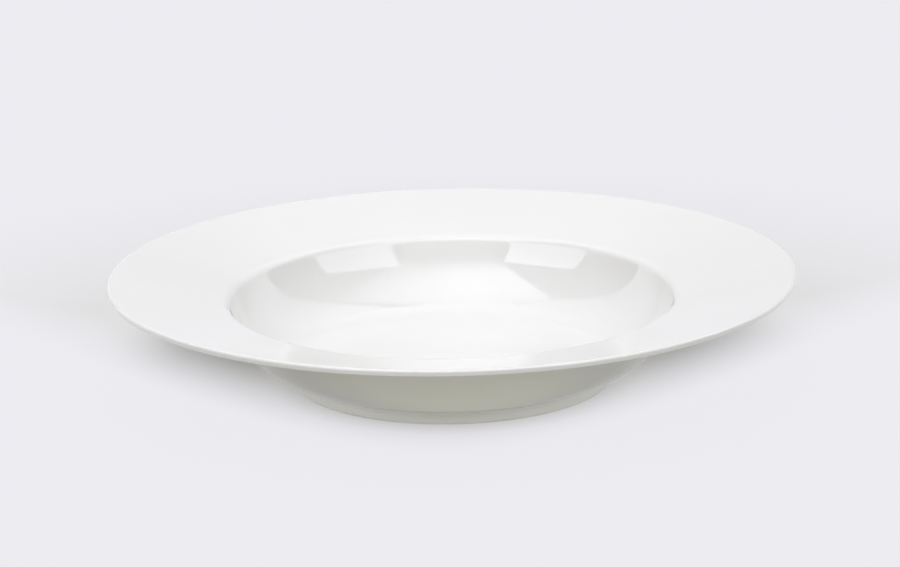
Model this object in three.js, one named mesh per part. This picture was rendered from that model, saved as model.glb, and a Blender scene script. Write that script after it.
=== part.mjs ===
// Deep plate with a wide rim, in millimetres, +Z up.
// One porcelain body carries two skins of glaze, and every piece is turned about the plate's axis.
// The origin is the centre of the ring on which the foot stands.

import * as THREE from "three";

// Overall size, over the glaze
const rimDiameter = 280;
const plateHeight = 45;

// Rim
const rimRise = 9; // from the top of the lip up to the crest of the rim
const rimEdgeThickness = 2.4;
const rimRootThickness = 4.2; // beside the lip

// Well
const wellMouthDiameter = 181; // where the wall is steepest, just under the lip
const wallSlope = 73.5; // degrees, at the well's mouth
const lipRounding = 4;
const floorHeight = 8.2; // from the table up to the floor of the well
const cornerRadius = 20.5; // between the floor and the wall
const cornerTurn = 29.5; // degrees, slope where the corner gives way to the wall

// Outside of the bowl
const wallThickness = 3.5; // at the well's mouth
const underRimFillet = 8;

// Foot
const footSetBack = 25.5; // from the well's mouth in to the outside of the foot
const footHeight = 5; // from the table up to where the bowl would cut the foot
const footWidth = 5;
const footRounding = 1;
const footFillet = 2.5; // between the foot and the bowl
const recessDepth = 4; // from the table up to the ceiling of the recess
const recessDraft = 15; // degrees, lean of the foot's inner side
const recessFillet = 3;

// Glaze
const glazeThickness = 0.3;
const bondGap = 0.05; // keeps the glaze and the body two solids

// Facets
const turnSegments = 56;
const chordError = 0.1;
const widestFacet = 30; // degrees

const skin = glazeThickness + bondGap;
const { degToRad } = THREE.MathUtils;

// Outline
// The glazed outline is a chain of stations, each with its place (r, z) and the way out of the
// material. It runs from the axis over the floor, wall, lip and rim, round the rim's edge, and back
// under the rim, the bowl and the foot to the axis. Straight stretches join the ends of the arcs.

function along(angle) {
  return new THREE.Vector2(Math.cos(angle), Math.sin(angle));
}

function station(place, outward) {
  return { place, outward };
}

// An arc that turns with the sun is a rounding, and one that turns against it is a hollow.
function arc(centre, radius, from, to) {
  const sweep = Math.abs(to - from);
  const facet = Math.min(2 * Math.acos(1 - chordError / radius), degToRad(widestFacet));
  const count = Math.ceil(sweep / facet);
  const side = Math.sign(from - to);
  return Array.from({ length: count + 1 }, (_, i) => {
    const ray = along(THREE.MathUtils.lerp(from, to, i / count));
    return station(ray.clone().multiplyScalar(radius).add(centre), ray.multiplyScalar(side));
  });
}

// Slope of the straight line from one point to a circle, which it touches at the given distance
// from the circle's centre: above the centre for a positive distance, below it for a negative one.
function tangentSlope(from, centre, distance) {
  const gap = new THREE.Vector2().subVectors(centre, from);
  return gap.angle() + Math.asin(distance / gap.length());
}

const UP = degToRad(90);
const steepest = degToRad(wallSlope);
const cornerEnd = degToRad(cornerTurn);
const draft = degToRad(recessDraft);

// Rim: one circle rounds the edge, one rounds the lip, and a straight line touches both from above.
const edgeRadius = rimEdgeThickness / 2;
const edgeCentre = new THREE.Vector2(rimDiameter / 2 - edgeRadius, plateHeight - edgeRadius);
const mouthRadius = wellMouthDiameter / 2;
const lipCentre = new THREE.Vector2(
  mouthRadius + lipRounding * Math.sin(steepest),
  plateHeight - rimRise - lipRounding,
);
const rimSlope = tangentSlope(lipCentre, edgeCentre, edgeRadius - lipRounding);

// The rim's underside leaves the edge at its own slope, because the rim thickens towards the lip.
const rimRoot = along(rimSlope + UP)
  .multiplyScalar(lipRounding - rimRootThickness)
  .add(lipCentre);
const undersideSlope = tangentSlope(rimRoot, edgeCentre, -edgeRadius);

// Well: the corner's arc leaves the floor level, and the wall's wider arc takes it on to the lip.
const mouthHeight = lipCentre.y + lipRounding * Math.cos(steepest);
const cornerRise = cornerRadius * (1 - Math.cos(cornerEnd));
const wallRise = mouthHeight - floorHeight - cornerRise;
const wallRadius = wallRise / (Math.cos(cornerEnd) - Math.cos(steepest));
const wallCentre = along(steepest + UP)
  .multiplyScalar(wallRadius)
  .add(new THREE.Vector2(mouthRadius, mouthHeight));
const cornerCentre = along(cornerEnd - UP)
  .multiplyScalar(wallRadius - cornerRadius)
  .add(wallCentre);

// Bowl: the outside is an arc through the foot's corner, parallel to the wall at the mouth.
const footRadius = mouthRadius - footSetBack;
const footCorner = new THREE.Vector2(footRadius, footHeight);
const inward = along(steepest + UP);
const bowlTop = new THREE.Vector2(mouthRadius, mouthHeight).addScaledVector(inward, -wallThickness);
const chord = new THREE.Vector2().subVectors(bowlTop, footCorner);
const bowlRadius = -chord.lengthSq() / (2 * chord.dot(inward));
const bowlCentre = inward.clone().multiplyScalar(bowlRadius).add(bowlTop);

// The fillet under the rim touches the rim's underside and the bowl.
const filletReach = bowlRadius + underRimFillet;
const underside = along(undersideSlope);
const filletStart = along(undersideSlope - UP)
  .multiplyScalar(underRimFillet)
  .add(rimRoot);
const offset = new THREE.Vector2().subVectors(filletStart, bowlCentre);
const half = offset.dot(underside);
const slide = Math.sqrt(half ** 2 + filletReach ** 2 - offset.lengthSq()) - half;
const filletCentre = filletStart.clone().addScaledVector(underside, slide);
const filletRay = new THREE.Vector2().subVectors(filletCentre, bowlCentre);

// Foot: a fillet runs out of the bowl into an upright outer side, and the inner side leans.
const grooveRadius = footRadius + footFillet;
const grooveReach = bowlRadius + footFillet;
const grooveCentre = new THREE.Vector2(
  grooveRadius,
  bowlCentre.y - Math.sqrt(grooveReach ** 2 - (grooveRadius - bowlCentre.x) ** 2),
);
const grooveRay = new THREE.Vector2().subVectors(grooveCentre, bowlCentre);
const toeRadius = footRounding + skin; // the bare body then stands at z = 0
const outerToe = new THREE.Vector2(footRadius - toeRadius, footRounding);
const innerToe = new THREE.Vector2(footRadius - footWidth + toeRadius, footRounding);
const recessCorner = recessDepth - recessFillet;
const recessCentre = new THREE.Vector2(
  innerToe.x +
    Math.tan(draft) * (innerToe.y - recessCorner) -
    (toeRadius + recessFillet) / Math.cos(draft),
  recessCorner,
);

// The stretch that the top glaze covers, the bare toe of the foot, and the stretch inside the foot.
const filletTurn = Math.atan2(filletRay.y, filletRay.x);
const grooveTurn = Math.atan2(grooveRay.y, grooveRay.x);
const glazedTop = [
  station(new THREE.Vector2(0, floorHeight), along(UP)),
  ...arc(cornerCentre, cornerRadius, -UP, cornerEnd - UP),
  ...arc(wallCentre, wallRadius, cornerEnd - UP, steepest - UP).slice(1),
  ...arc(lipCentre, lipRounding, steepest + UP, rimSlope + UP).slice(1),
  ...arc(edgeCentre, edgeRadius, rimSlope + UP, UP),
  ...arc(edgeCentre, edgeRadius, UP, 0).slice(1),
  ...arc(edgeCentre, edgeRadius, 0, undersideSlope - UP).slice(1),
  ...arc(filletCentre, underRimFillet, undersideSlope + UP, filletTurn + 2 * UP),
  ...arc(bowlCentre, bowlRadius, filletTurn, grooveTurn).slice(1),
  ...arc(grooveCentre, footFillet, grooveTurn + 2 * UP, 2 * UP).slice(1),
];
const toe = [
  ...arc(outerToe, toeRadius, 0, -UP),
  ...arc(innerToe, toeRadius, -UP, draft - 2 * UP),
];
const glazedBase = [
  ...arc(recessCentre, recessFillet, draft, UP),
  station(new THREE.Vector2(0, recessDepth), along(-UP)),
];

// Solids

// The outline's points, moved into the material by a depth. A point on the axis stays on it.
function sunk(stations, depth) {
  return stations.map(({ place, outward }) => place.clone().addScaledVector(outward, -depth));
}

// A turned solid. Its profile starts and ends on the axis, and is turned from its lower end up.
function turned(name, profile, material) {
  const geometry = new THREE.LatheGeometry(profile.reverse(), turnSegments).rotateX(UP);
  const mesh = new THREE.Mesh(geometry, material);
  mesh.name = name;
  return mesh;
}

// A skin of glaze under a stretch of the outline that starts or ends on the axis.
function glaze(name, stations, material) {
  const face = sunk(stations, 0);
  const back = sunk(stations, glazeThickness).reverse();
  const profile = face[0].x === 0 ? [...face, ...back] : [...back, ...face];
  return turned(name, profile, material);
}

const biscuit = new THREE.MeshStandardMaterial({ color: 0xe9e6de, roughness: 0.75, metalness: 0 });
const whiteGlaze = new THREE.MeshStandardMaterial({ color: 0xf3f3f0, roughness: 0.07, metalness: 0 });
const baseGlaze = new THREE.MeshStandardMaterial({ color: 0xf1f0ec, roughness: 0.12, metalness: 0 });

const body = sunk([...glazedTop, ...toe, ...glazedBase], skin);
const deepPlate = new THREE.Group();
deepPlate.add(
  turned("porcelain_body", body, biscuit),
  glaze("glaze_coat", [...glazedTop, toe[0]], whiteGlaze),
  glaze("base_glaze", [toe[toe.length - 1], ...glazedBase], baseGlaze),
);

export default deepPlate;
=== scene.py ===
# Deep plate with a wide rim, in metres, +Z up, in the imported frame.
# Body and glaze are turned finely about the plate's axis, from the outline that the CAD solids have.
# Only the rim's edge differs: here it is squarer, with an upright band above a sharper heel.

import math

import bpy
from mathutils import Matrix, Vector

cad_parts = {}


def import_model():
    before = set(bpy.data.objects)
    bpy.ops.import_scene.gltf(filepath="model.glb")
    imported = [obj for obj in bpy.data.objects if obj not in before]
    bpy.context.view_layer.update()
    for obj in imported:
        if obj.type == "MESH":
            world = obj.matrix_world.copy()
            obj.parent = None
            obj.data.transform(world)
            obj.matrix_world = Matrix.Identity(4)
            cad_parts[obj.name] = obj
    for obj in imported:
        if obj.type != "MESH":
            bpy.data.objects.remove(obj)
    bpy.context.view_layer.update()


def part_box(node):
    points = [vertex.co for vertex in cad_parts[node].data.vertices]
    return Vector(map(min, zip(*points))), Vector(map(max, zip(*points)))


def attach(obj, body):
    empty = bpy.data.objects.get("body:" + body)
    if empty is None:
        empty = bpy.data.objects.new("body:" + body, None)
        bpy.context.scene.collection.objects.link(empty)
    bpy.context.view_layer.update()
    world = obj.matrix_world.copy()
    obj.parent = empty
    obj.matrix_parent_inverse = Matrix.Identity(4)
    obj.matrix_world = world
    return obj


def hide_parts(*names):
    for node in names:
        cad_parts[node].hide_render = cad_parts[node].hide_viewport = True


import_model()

MM = 0.001
UP = math.radians(90)

# Plate, over the glaze
RIM_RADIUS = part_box("glaze_coat")[1][0]
PLATE_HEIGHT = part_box("glaze_coat")[1][2]
RIM_RISE = 9 * MM  # from the top of the lip up to the crest of the rim
RIM_EDGE = 2.4 * MM
CREST_ROUNDING = 1.0 * MM  # above the edge's upright band
HEEL_ROUNDING = 0.45 * MM  # below it
RIM_ROOT = 4.2 * MM  # thickness beside the lip
MOUTH_RADIUS = 90.5 * MM  # where the wall is steepest, just under the lip
WALL_SLOPE = math.radians(73.5)
LIP_ROUNDING = 4 * MM
FLOOR_HEIGHT = 8.2 * MM
CORNER_RADIUS = 20.5 * MM  # between the floor and the wall
CORNER_TURN = math.radians(29.5)
WALL_THICKNESS = 3.5 * MM
UNDER_RIM_FILLET = 8 * MM
FOOT_RADIUS = 65 * MM
FOOT_HEIGHT = 5 * MM
FOOT_WIDTH = 5 * MM
FOOT_ROUNDING = 1 * MM
FOOT_FILLET = 2.5 * MM
RECESS_DEPTH = 4 * MM
RECESS_DRAFT = math.radians(15)
RECESS_FILLET = 3 * MM
GLAZE = 0.3 * MM
BOND_GAP = 0.05 * MM
SKIN = GLAZE + BOND_GAP

# Fineness of the turned meshes
TURN_SEGMENTS = 180
WIDEST_FACET = math.radians(5)
LONGEST_FACET = 3 * MM
CREASE = math.radians(40)
SAME_PLACE = 1e-9

# Glaze and biscuit: linear tones, ranges of roughness, and noise in cells per metre
GLAZE_TONES = ((0.825, 0.82, 0.785), (0.84, 0.837, 0.805))
GLAZE_ROUGHNESS = (0.012, 0.03)
BASE_TONES = ((0.77, 0.765, 0.73), (0.81, 0.805, 0.77))
BASE_ROUGHNESS = (0.08, 0.16)
GLAZE_IOR = 1.6
GLAZE_CLOUDS = 18
POLISH = 60
WAVES, WAVE_HEIGHT = 26, 0.05 * MM
PEEL, PEEL_HEIGHT = 420, 0.003 * MM
BISCUIT_TONES = ((0.66, 0.64, 0.60), (0.76, 0.745, 0.71))
BISCUIT_ROUGHNESS = (0.62, 0.85)
BISCUIT_CLOUDS = 55
GRAIN, GRAIN_HEIGHT = 2600, 0.04 * MM
NOISE_MIDDLE = (0.3, 0.7)

# Paper on the table
FLOOR_HALF = 6.0
PAPER_TONES = ((0.705, 0.703, 0.68), (0.735, 0.733, 0.708))
PAPER_BOUNCE = (0.16, 0.16, 0.145)  # of light that goes on to the plate
FIBRES = 900
PALENESS = (0.843, 0.836, 0.88)
# The paleness is masked by place, not by the lamps: around the plate it leaves a painted shade, shaped
# like a shadow cast from the front. There the lit paper, darker than the paleness even in full light,
# shows through together with the lamps' real shadow.
PALE_SHARE = 0.976  # of the open floor
SHADE_FRONT = 70 * MM  # the painted shade, which also lets the lamps' real shadow through, spreads backwards from the foot
SHADE_ASIDE = 2.5 * MM  # its middle lies to the left of the foot's
SHADE_LEAN = 0.738  # sideways step of its flank for one step back
SHADE_REACH = (73 * MM, 146 * MM)
SHADE_END = (150 * MM, 370 * MM)
SHADE_FOOT = (55 * MM, 79 * MM)  # closer to the foot the painted shade deepens
FOOT_SHARE = 0.61

# Lamps
LIGHT_TINT = (1.0, 1.0, 1.045)
WARM_PAPER = (1.0, 1.0, 0.81)
WHITE_PAPER = (1.0, 1.0, 0.98)
ABOVE = Vector((0, 0, 1))
OVERHEAD_HEIGHT = 3.2
OVERHEAD_EDGES = (-0.535, 0.77, -1.10, 0.235)  # left, right, front, rear: shares of its height
OVERHEAD_TURN = math.radians(-2.5)
BACK_DISTANCE = 2.6
BACK_EDGES = (-2.07, 2.36, 3.4)  # left, right, top: shares of its distance
BACK_STEP = 1.02  # one of its two washes hangs this much farther off
SIDE_DISTANCE = 3.0
FRONT_PLACE = Vector((0, -3.0, 1.6))
FRONT_WIDTH = 3.0
FRONT_HEIGHT = 3.1
EVEN = ((0, 1),)
ROOM_TONE = (0.8, 0.8, 0.82)
ROOM_STRENGTH = 0.01

# Photograph
FRAME_WIDTH = 900
FOCAL_PIXELS = 3895
SENSOR_WIDTH = 36
CAMERA_PLACE = Vector((0, -1.5311, 0.4643))
CAMERA_AIM = Vector((-0.00062, 0, 0.040))
CAMERA_ROLL = math.radians(-1.19)
CAMERA_CLIP = (0.05, 50)


# Outline

def along(angle):
    return Vector((math.cos(angle), math.sin(angle)))


def arc(centre, radius, start, end):
    """Stations (place, way out of the material) of an arc: a rounding if it turns with the sun."""
    sweep = abs(end - start)
    count = math.ceil(max(sweep / WIDEST_FACET, sweep * radius / LONGEST_FACET))
    side = 1 if start > end else -1
    rays = [along(start + (end - start) * i / count) for i in range(count + 1)]
    return [(centre + ray * radius, ray * side) for ray in rays]


def chain(*stretches):
    """One run of stations, with the straight stretches between the arcs divided."""
    run = []
    for stations in stretches:
        if run:
            start, end = run[-1][0], stations[0][0]
            count = math.ceil((end - start).length / LONGEST_FACET)
            run += [(start.lerp(end, i / count), stations[0][1]) for i in range(1, count)]
        joined = run and (stations[0][0] - run[-1][0]).length < SAME_PLACE
        run += stations[1:] if joined else stations
    return run


def tangent_slope(start, centre, distance):
    """Slope of the line from a point that touches a circle, above its centre if distance is positive."""
    gap = centre - start
    return math.atan2(gap.y, gap.x) + math.asin(distance / gap.length)


def rim():
    """Centres of the lip's rounding and the edge's two, the root, and the slopes of both faces."""
    lip = Vector((
        MOUTH_RADIUS + LIP_ROUNDING * math.sin(WALL_SLOPE),
        PLATE_HEIGHT - RIM_RISE - LIP_ROUNDING,
    ))
    crest = Vector((RIM_RADIUS - CREST_ROUNDING, PLATE_HEIGHT - CREST_ROUNDING))
    heel = Vector((RIM_RADIUS - HEEL_ROUNDING, PLATE_HEIGHT - RIM_EDGE + HEEL_ROUNDING))
    upper = tangent_slope(lip, crest, CREST_ROUNDING - LIP_ROUNDING)
    root = lip + along(upper + UP) * (LIP_ROUNDING - RIM_ROOT)
    under = tangent_slope(root, heel, -HEEL_ROUNDING)
    return lip, crest, heel, root, upper, under


def well(mouth):
    """The middle of the floor, the corner, and the wall up to the mouth."""
    wall_rise = mouth.y - FLOOR_HEIGHT - CORNER_RADIUS * (1 - math.cos(CORNER_TURN))
    wall_radius = wall_rise / (math.cos(CORNER_TURN) - math.cos(WALL_SLOPE))
    wall = mouth + along(WALL_SLOPE + UP) * wall_radius
    corner = wall + along(CORNER_TURN - UP) * (wall_radius - CORNER_RADIUS)
    return (
        [(Vector((0, FLOOR_HEIGHT)), along(UP))],
        arc(corner, CORNER_RADIUS, -UP, CORNER_TURN - UP),
        arc(wall, wall_radius, CORNER_TURN - UP, WALL_SLOPE - UP),
    )


def bowl(mouth, root, under):
    """The fillet under the rim, the outside of the bowl, and the fillet above the foot."""
    inward = along(WALL_SLOPE + UP)
    top = mouth - inward * WALL_THICKNESS
    chord = top - Vector((FOOT_RADIUS, FOOT_HEIGHT))
    radius = -chord.length_squared / (2 * chord.dot(inward))
    centre = top + inward * radius

    start = root + along(under - UP) * UNDER_RIM_FILLET
    offset = start - centre
    half = offset.dot(along(under))
    reach = radius + UNDER_RIM_FILLET
    fillet = start + along(under) * (math.sqrt(half**2 + reach**2 - offset.length_squared) - half)
    fillet_turn = math.atan2(fillet.y - centre.y, fillet.x - centre.x)

    groove_radius = FOOT_RADIUS + FOOT_FILLET
    reach = radius + FOOT_FILLET
    groove = Vector((groove_radius, centre.y - math.sqrt(reach**2 - (groove_radius - centre.x) ** 2)))
    groove_turn = math.atan2(groove.y - centre.y, groove.x - centre.x)
    return (
        arc(fillet, UNDER_RIM_FILLET, under + UP, fillet_turn + 2 * UP),
        arc(centre, radius, fillet_turn, groove_turn),
        arc(groove, FOOT_FILLET, groove_turn + 2 * UP, 2 * UP),
    )


def foot():
    """The bare toe, and the recess from the toe's inner end to the axis."""
    toe_radius = FOOT_ROUNDING + SKIN
    outer = Vector((FOOT_RADIUS - toe_radius, FOOT_ROUNDING))
    inner = Vector((FOOT_RADIUS - FOOT_WIDTH + toe_radius, FOOT_ROUNDING))
    toe = chain(
        arc(outer, toe_radius, 0, -UP),
        arc(inner, toe_radius, -UP, RECESS_DRAFT - 2 * UP),
    )
    corner_height = RECESS_DEPTH - RECESS_FILLET
    corner = Vector((
        inner.x + math.tan(RECESS_DRAFT) * (inner.y - corner_height)
        - (toe_radius + RECESS_FILLET) / math.cos(RECESS_DRAFT),
        corner_height,
    ))
    recess = chain(
        toe[-1:],
        arc(corner, RECESS_FILLET, RECESS_DRAFT, UP),
        [(Vector((0, RECESS_DEPTH)), along(-UP))],
    )
    return toe, recess


def outline():
    """The stretch that the top glaze covers, the bare toe of the foot, and the recess inside it."""
    lip, crest, heel, root, upper, under = rim()
    mouth = Vector((MOUTH_RADIUS, lip.y + LIP_ROUNDING * math.cos(WALL_SLOPE)))
    toe, recess = foot()
    top = chain(
        *well(mouth),
        arc(lip, LIP_ROUNDING, WALL_SLOPE + UP, upper + UP),
        arc(crest, CREST_ROUNDING, upper + UP, UP),
        arc(crest, CREST_ROUNDING, UP, 0),
        arc(heel, HEEL_ROUNDING, 0, under - UP),
        *bowl(mouth, root, under),
        toe[:1],
    )
    return top, toe, recess


# Meshes

def sunk(stations, depth):
    return [place - outward * depth for place, outward in stations]


def turned(name, profile):
    """A closed body turned about Z. Its profile runs from the axis to the axis, over the top first."""
    ring = profile[1:-1]
    turns = [2 * math.pi * i / TURN_SEGMENTS for i in range(TURN_SEGMENTS)]
    verts = [(p.x * math.cos(a), p.x * math.sin(a), p.y) for p in ring for a in turns]
    start, end = len(verts), len(verts) + 1
    verts += [(0, 0, profile[0].y), (0, 0, profile[-1].y)]
    faces = []
    last = (len(ring) - 1) * TURN_SEGMENTS
    for i in range(TURN_SEGMENTS):
        j = (i + 1) % TURN_SEGMENTS
        faces.append((start, i, j))
        faces.append((end, last + j, last + i))
        for row in range(0, last, TURN_SEGMENTS):
            below = row + TURN_SEGMENTS
            faces.append((row + i, below + i, below + j, row + j))
    mesh = bpy.data.meshes.new(name)
    mesh.from_pydata(verts, [], faces)
    mesh.shade_smooth()
    mesh.set_sharp_from_angle(angle=CREASE)
    piece = bpy.data.objects.new(name, mesh)
    bpy.context.scene.collection.objects.link(piece)
    return piece


def glaze_profile(stations):
    """Loop round a skin of glaze, from the axis to the axis."""
    face = sunk(stations, 0)
    back = sunk(stations, GLAZE)[::-1]
    return face + back if stations[0][0].x == 0 else back + face


# Shader nodes

def new_material(name):
    material = bpy.data.materials.new(name)
    material.use_nodes = True
    nodes = material.node_tree.nodes
    return material, nodes, material.node_tree.links, nodes["Principled BSDF"]


def noise(nodes, links, coords, scale, detail=2.0):
    node = nodes.new("ShaderNodeTexNoise")
    node.inputs["Scale"].default_value = scale
    node.inputs["Detail"].default_value = detail
    links.new(coords.outputs["Object"], node.inputs["Vector"])
    return node.outputs["Fac"]


def spread(nodes, links, source, low=0.0, high=1.0):
    """Maps a noise's middle range onto low to high."""
    node = nodes.new("ShaderNodeMapRange")
    node.inputs["From Min"].default_value, node.inputs["From Max"].default_value = NOISE_MIDDLE
    node.inputs["To Min"].default_value = low
    node.inputs["To Max"].default_value = high
    links.new(source, node.inputs["Value"])
    return node.outputs["Result"]


def eased(nodes, links, source, low, high, start=0.0):
    """Rises smoothly from its start at low to 1 at high."""
    node = nodes.new("ShaderNodeMapRange")
    node.interpolation_type = "SMOOTHSTEP"
    node.inputs["From Min"].default_value = low
    node.inputs["From Max"].default_value = high
    node.inputs["To Min"].default_value = start
    links.new(source, node.inputs["Value"])
    return node.outputs["Result"]


def bump(nodes, links, height, distance, under=None):
    """Normal of a relief of this height, laid over another normal where one is given."""
    node = nodes.new("ShaderNodeBump")
    node.inputs["Strength"].default_value = 1.0
    node.inputs["Distance"].default_value = distance
    links.new(height, node.inputs["Height"])
    if under:
        links.new(under, node.inputs["Normal"])
    return node.outputs["Normal"]


def tinted(nodes, links, factor, low, high):
    """A blend from one tone to another. A tone is a colour or a socket."""
    node = nodes.new("ShaderNodeMix")
    node.data_type = "RGBA"
    for name, tone in (("A", low), ("B", high)):
        if isinstance(tone, tuple):
            node.inputs[name].default_value = (*tone, 1)
        else:
            links.new(tone, node.inputs[name])
    links.new(factor, node.inputs["Factor"])
    return node.outputs["Result"]


def math_node(nodes, links, operation, *sources):
    """One step of arithmetic. A source is a float or a socket."""
    node = nodes.new("ShaderNodeMath")
    node.operation = operation
    for source, socket in zip(sources, node.inputs):
        if isinstance(source, float):
            socket.default_value = source
        else:
            links.new(source, socket)
    return node.outputs["Value"]


def ramp(nodes, links, source, stops):
    """A grey through stops of (place, value)."""
    node = nodes.new("ShaderNodeValToRGB")
    elements = node.color_ramp.elements
    elements.remove(elements[-1])
    for i, (place, value) in enumerate(stops):
        stop = elements.new(place) if i else elements[0]
        stop.position = place
        stop.color = (value, value, value, 1)
    links.new(source, node.inputs["Fac"])
    return node.outputs["Color"]


# Plate

def glaze_material(name, tones, roughness):
    """White glaze: faint clouds, uneven polish, long waves and a fine orange peel."""
    material, nodes, links, shader = new_material(name)
    coords = nodes.new("ShaderNodeTexCoord")
    clouds = spread(nodes, links, noise(nodes, links, coords, GLAZE_CLOUDS))
    links.new(tinted(nodes, links, clouds, *tones), shader.inputs["Base Color"])
    polish = noise(nodes, links, coords, POLISH)
    links.new(spread(nodes, links, polish, *roughness), shader.inputs["Roughness"])
    waves = bump(nodes, links, noise(nodes, links, coords, WAVES, detail=1), WAVE_HEIGHT)
    peel = bump(nodes, links, noise(nodes, links, coords, PEEL, detail=1), PEEL_HEIGHT, waves)
    links.new(peel, shader.inputs["Normal"])
    shader.inputs["IOR"].default_value = GLAZE_IOR
    return material


def biscuit_material():
    """Bare fired porcelain: cloudy and finely grained."""
    material, nodes, links, shader = new_material("bare_biscuit")
    coords = nodes.new("ShaderNodeTexCoord")
    clouds = spread(nodes, links, noise(nodes, links, coords, BISCUIT_CLOUDS, detail=4))
    links.new(tinted(nodes, links, clouds, *BISCUIT_TONES), shader.inputs["Base Color"])
    grain = noise(nodes, links, coords, GRAIN, detail=3)
    links.new(spread(nodes, links, grain, *BISCUIT_ROUGHNESS), shader.inputs["Roughness"])
    links.new(bump(nodes, links, grain, GRAIN_HEIGHT), shader.inputs["Normal"])
    return material


def dress(piece, node, material):
    piece.data.materials.append(material)
    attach(piece, "root")
    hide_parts(node)


def plate():
    top, toe, recess = outline()
    body = top + toe[1:] + recess[1:]
    dress(turned("fine_body", sunk(body, SKIN)), "porcelain_body", biscuit_material())
    coat = glaze_material("white_glaze", GLAZE_TONES, GLAZE_ROUGHNESS)
    dress(turned("fine_coat", glaze_profile(top)), "glaze_coat", coat)
    lining = glaze_material("base_glaze", BASE_TONES, BASE_ROUGHNESS)
    dress(turned("fine_base", glaze_profile(recess)), "base_glaze", lining)


# Floor

def seen_ray(nodes, links):
    """1 for what the camera sees, itself or in gloss or glass."""
    rays = nodes.new("ShaderNodeLightPath").outputs
    direct = math_node(nodes, links, "MAXIMUM", rays["Is Camera Ray"], rays["Is Glossy Ray"])
    return math_node(nodes, links, "MAXIMUM", direct, rays["Is Transmission Ray"])


def paleness_past_painted_shade(nodes, links, coords):
    """How much of the paper's tone is plain paleness, by place: none in a painted shade around the
    plate, shaped like its shadow, where the lamps' real shadow also shows, and most of it beyond.
    """
    place = nodes.new("ShaderNodeSeparateXYZ")
    links.new(coords.outputs["Object"], place.inputs["Vector"])
    x = math_node(nodes, links, "ADD", place.outputs["X"], SHADE_ASIDE)
    blunt = math_node(nodes, links, "ADD", math_node(nodes, links, "MULTIPLY", x, x), SHADE_FRONT**2)
    back = math_node(nodes, links, "MULTIPLY", place.outputs["Y"], SHADE_LEAN)
    ahead = math_node(nodes, links, "SUBTRACT", math_node(nodes, links, "SQRT", blunt), back)
    reach = nodes.new("ShaderNodeVectorMath")
    reach.operation = "LENGTH"
    links.new(coords.outputs["Object"], reach.inputs[0])
    beside = eased(nodes, links, ahead, *SHADE_REACH)
    beyond = eased(nodes, links, reach.outputs["Value"], *SHADE_END)
    open_share = math_node(nodes, links, "MAXIMUM", beside, beyond)
    # a painted shade that deepens closer to the foot
    kept_by_painted_foot_shade = eased(nodes, links, reach.outputs["Value"], *SHADE_FOOT, FOOT_SHARE)
    share = math_node(nodes, links, "MULTIPLY", open_share, kept_by_painted_foot_shade)
    return math_node(nodes, links, "MULTIPLY", share, PALE_SHARE)


def paper_material():
    """Matt paper that shows the plate's real shadow inside a painted shade fixed around the plate, and
    is plainly pale away from it.
    """
    paper, nodes, links, shader = new_material("paper")
    coords = nodes.new("ShaderNodeTexCoord")
    seen = seen_ray(nodes, links)
    fibres = spread(nodes, links, noise(nodes, links, coords, FIBRES, detail=3))
    tone = tinted(nodes, links, fibres, *PAPER_TONES)
    links.new(tinted(nodes, links, seen, PAPER_BOUNCE, tone), shader.inputs["Base Color"])
    shader.inputs["Roughness"].default_value = 1.0
    shader.inputs["Specular IOR Level"].default_value = 0.0
    pale = nodes.new("ShaderNodeEmission")
    pale.inputs["Color"].default_value = (*PALENESS, 1)
    mixed = nodes.new("ShaderNodeMixShader")
    share = math_node(nodes, links, "MULTIPLY", seen, paleness_past_painted_shade(nodes, links, coords))
    links.new(share, mixed.inputs["Fac"])
    links.new(shader.outputs["BSDF"], mixed.inputs[1])
    links.new(pale.outputs["Emission"], mixed.inputs[2])
    links.new(mixed.outputs["Shader"], nodes["Material Output"].inputs["Surface"])
    return paper


def floor():
    mesh = bpy.data.meshes.new("floor")
    corners = [(-1, -1), (1, -1), (1, 1), (-1, 1)]
    mesh.from_pydata([(x * FLOOR_HALF, y * FLOOR_HALF, 0) for x, y in corners], [], [(0, 1, 2, 3)])
    mesh.materials.append(paper_material())
    piece = bpy.data.objects.new("floor", mesh)
    bpy.context.scene.collection.objects.link(piece)


# Light

def panel(name, centre, across, upward, radiance, tint=LIGHT_TINT):
    """A rectangular lamp with these whole sides, which faces away from their cross product."""
    data = bpy.data.lights.new(name, "AREA")
    data.shape = "RECTANGLE"
    data.size, data.size_y = across.length, upward.length
    data.color = tint
    data.energy = radiance * math.pi * data.size * data.size_y
    lamp = bpy.data.objects.new(name, data)
    x, y = across.normalized(), upward.normalized()
    axes = Matrix((x, y, x.cross(y))).transposed()
    lamp.matrix_world = Matrix.Translation(centre) @ axes.to_4x4()
    lamp.visible_camera = False
    bpy.context.scene.collection.objects.link(lamp)
    return lamp


def fade(lamp, across, upward):
    """Varies a lamp's cloth along its two sides, by stops of (share of the side, share of the light)."""
    lamp.data.use_nodes = True
    nodes, links = lamp.data.node_tree.nodes, lamp.data.node_tree.links
    cloth = nodes.new("ShaderNodeNewGeometry")
    place = nodes.new("ShaderNodeSeparateXYZ")
    links.new(cloth.outputs["Parametric"], place.inputs["Vector"])
    along_x = ramp(nodes, links, place.outputs["X"], across)
    along_y = ramp(nodes, links, place.outputs["Y"], upward)
    share = math_node(nodes, links, "MULTIPLY", along_x, along_y)
    links.new(share, nodes["Emission"].inputs["Strength"])


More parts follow.
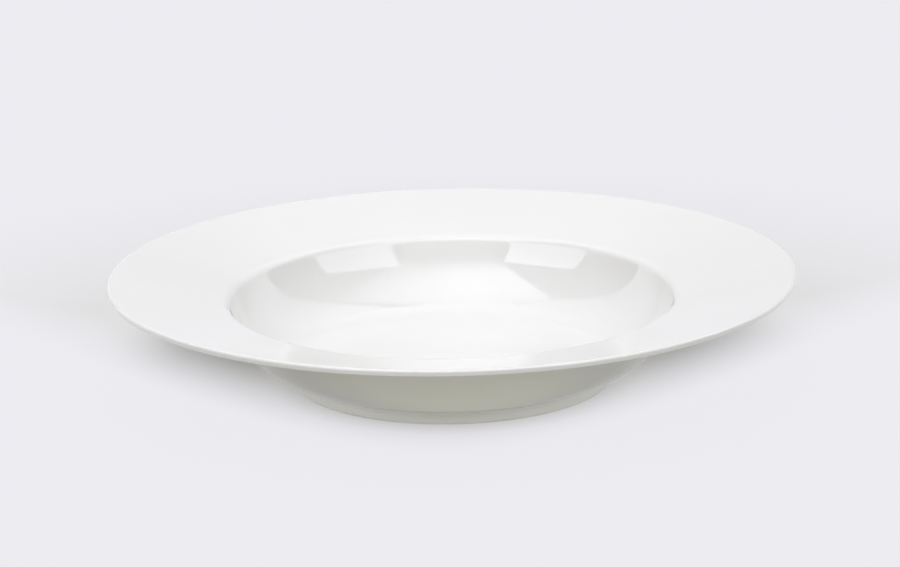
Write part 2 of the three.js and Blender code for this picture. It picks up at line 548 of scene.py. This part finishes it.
def overhead():
    """The broad cloth over the plate, dimmest at its front edge and its right end."""
    left, right, front_edge, rear = (share * OVERHEAD_HEIGHT for share in OVERHEAD_EDGES)
    across = Vector((math.cos(OVERHEAD_TURN), math.sin(OVERHEAD_TURN), 0))
    upward = Vector((-math.sin(OVERHEAD_TURN), math.cos(OVERHEAD_TURN), 0)) * (rear - front_edge)
    centre = Vector(((left + right) / 2, rear, OVERHEAD_HEIGHT)) - upward / 2
    cloth = panel("overhead", centre, across * (right - left), upward, radiance=2.85)
    across_fade = ((0, 0.92), (0.4, 1), (0.8, 0.48), (1, 0.175))
    upward_fade = ((0, 0.155), (0.35, 1), (0.7, 0.926), (1, 0.556))
    fade(cloth, across_fade, upward_fade)


def backdrop(name, distance, radiance, across_fade, upward_fade):
    left, right, top = (share * distance for share in BACK_EDGES)
    centre = Vector(((left + right) / 2, distance, top / 2))
    wall = panel(name, centre, Vector((left - right, 0, 0)), ABOVE * top, radiance)
    fade(wall, across_fade, upward_fade)


def back():
    """Two washes of light, one just behind the other: one low at the ends, one high in the middle."""
    backdrop(
        "back_ends", BACK_DISTANCE, radiance=1.27,
        across_fade=((0, 1), (0.5, 0.22), (1, 0.94)),
        upward_fade=((0, 0.8), (0.12, 1), (0.35, 0.04), (0.65, 0.12), (1, 0.38)),
    )
    backdrop(
        "back_middle", BACK_DISTANCE * BACK_STEP, radiance=1.84,
        across_fade=((0, 0.35), (0.5, 1), (1, 0.46)),
        upward_fade=((0, 0.31), (0.12, 0.14), (0.35, 0.72), (0.65, 0.9), (1, 1)),
    )


def softbox(name, bearing, ends, top, radiance, across_fade, upward_fade):
    """An upright softbox, dark at its foot. Its ends and its top are shares of its distance."""
    toward = Vector((*bearing, 0)).normalized() * SIDE_DISTANCE
    across = Vector((-toward.y, toward.x, 0))
    height = ABOVE * top * SIDE_DISTANCE
    start, end = ends
    centre = toward + across * (start + end) / 2 + height / 2
    cloth = panel(name, centre, across * (end - start), height, radiance)
    fade(cloth, across_fade, upward_fade)


def softboxes():
    """The two lamps before the plate that mirror as bright patches under the rear lip."""
    softbox(
        "softbox_left", bearing=(-0.555, -0.832), ends=(-0.959, 0.012), top=0.882, radiance=2.94,
        across_fade=((0, 0.8), (1, 1)),
        upward_fade=((0.34, 0), (0.38, 0.76), (0.55, 0.88), (1, 1)),
    )
    softbox(
        "softbox_right", bearing=(0.447, -0.894), ends=(0.113, 1.237), top=0.952, radiance=2.5,
        across_fade=((0, 1), (1, 0.78)),
        upward_fade=((0.32, 0), (0.36, 0.75), (0.5, 1), (1, 0.97)),
    )


def front():
    """A dim wash between the softboxes, brightest at its foot."""
    across = Vector((FRONT_WIDTH, 0, 0))
    wall = panel("front", FRONT_PLACE, across, ABOVE * FRONT_HEIGHT, radiance=1.1)
    fade(wall, EVEN, ((0, 1), (1, 0)))


def glow(name, place, width, length, radiance, tint):
    """An ellipse of paper, in millimetres, that throws light up and mirrors in nothing."""
    across, upward = Vector((-width, 0, 0)) * MM, Vector((0, length, 0)) * MM
    lamp = panel(name, Vector(place) * MM, across, upward, radiance * math.pi / 4, tint)
    lamp.data.shape = "ELLIPSE"
    lamp.visible_glossy = False


def table_glow():
    """The light off the table: white at the foot and on both sides, warm before it and all round."""
    glow("paper_foot", (0, 0, 0.1), width=180, length=140, radiance=0.43, tint=WHITE_PAPER)
    glow("paper_near", (8, -122, 0.5), width=200, length=95, radiance=0.27, tint=WARM_PAPER)
    glow("paper_left", (-330, -20, 0.4), width=360, length=500, radiance=0.8, tint=WHITE_PAPER)
    glow("paper_right", (330, -20, 0.4), width=360, length=500, radiance=0.8, tint=WHITE_PAPER)
    glow("paper_wide", (0, 0, 0.2), width=4000, length=4000, radiance=0.117, tint=WARM_PAPER)


def world():
    surroundings = bpy.data.worlds.new("studio")
    bpy.context.scene.world = surroundings
    surroundings.use_nodes = True
    shade = surroundings.node_tree.nodes["Background"]
    shade.inputs["Color"].default_value = (*ROOM_TONE, 1)
    shade.inputs["Strength"].default_value = ROOM_STRENGTH


# Camera

def camera():
    data = bpy.data.cameras.new("camera")
    data.sensor_width = SENSOR_WIDTH
    data.lens = SENSOR_WIDTH * FOCAL_PIXELS / FRAME_WIDTH
    data.clip_start, data.clip_end = CAMERA_CLIP
    obj = bpy.data.objects.new("camera", data)
    ahead = (CAMERA_AIM - CAMERA_PLACE).normalized()
    right = ahead.cross(ABOVE).normalized()
    upward = right.cross(ahead)
    turn = Matrix.Rotation(CAMERA_ROLL, 3, -ahead)
    axes = Matrix((turn @ right, turn @ upward, -ahead)).transposed()
    obj.matrix_world = Matrix.Translation(CAMERA_PLACE) @ axes.to_4x4()
    bpy.context.scene.collection.objects.link(obj)
    bpy.context.scene.camera = obj


plate()
floor()
overhead()
back()
softboxes()
front()
table_glow()
world()
camera()
bpy.context.scene.view_settings.view_transform = "Standard"
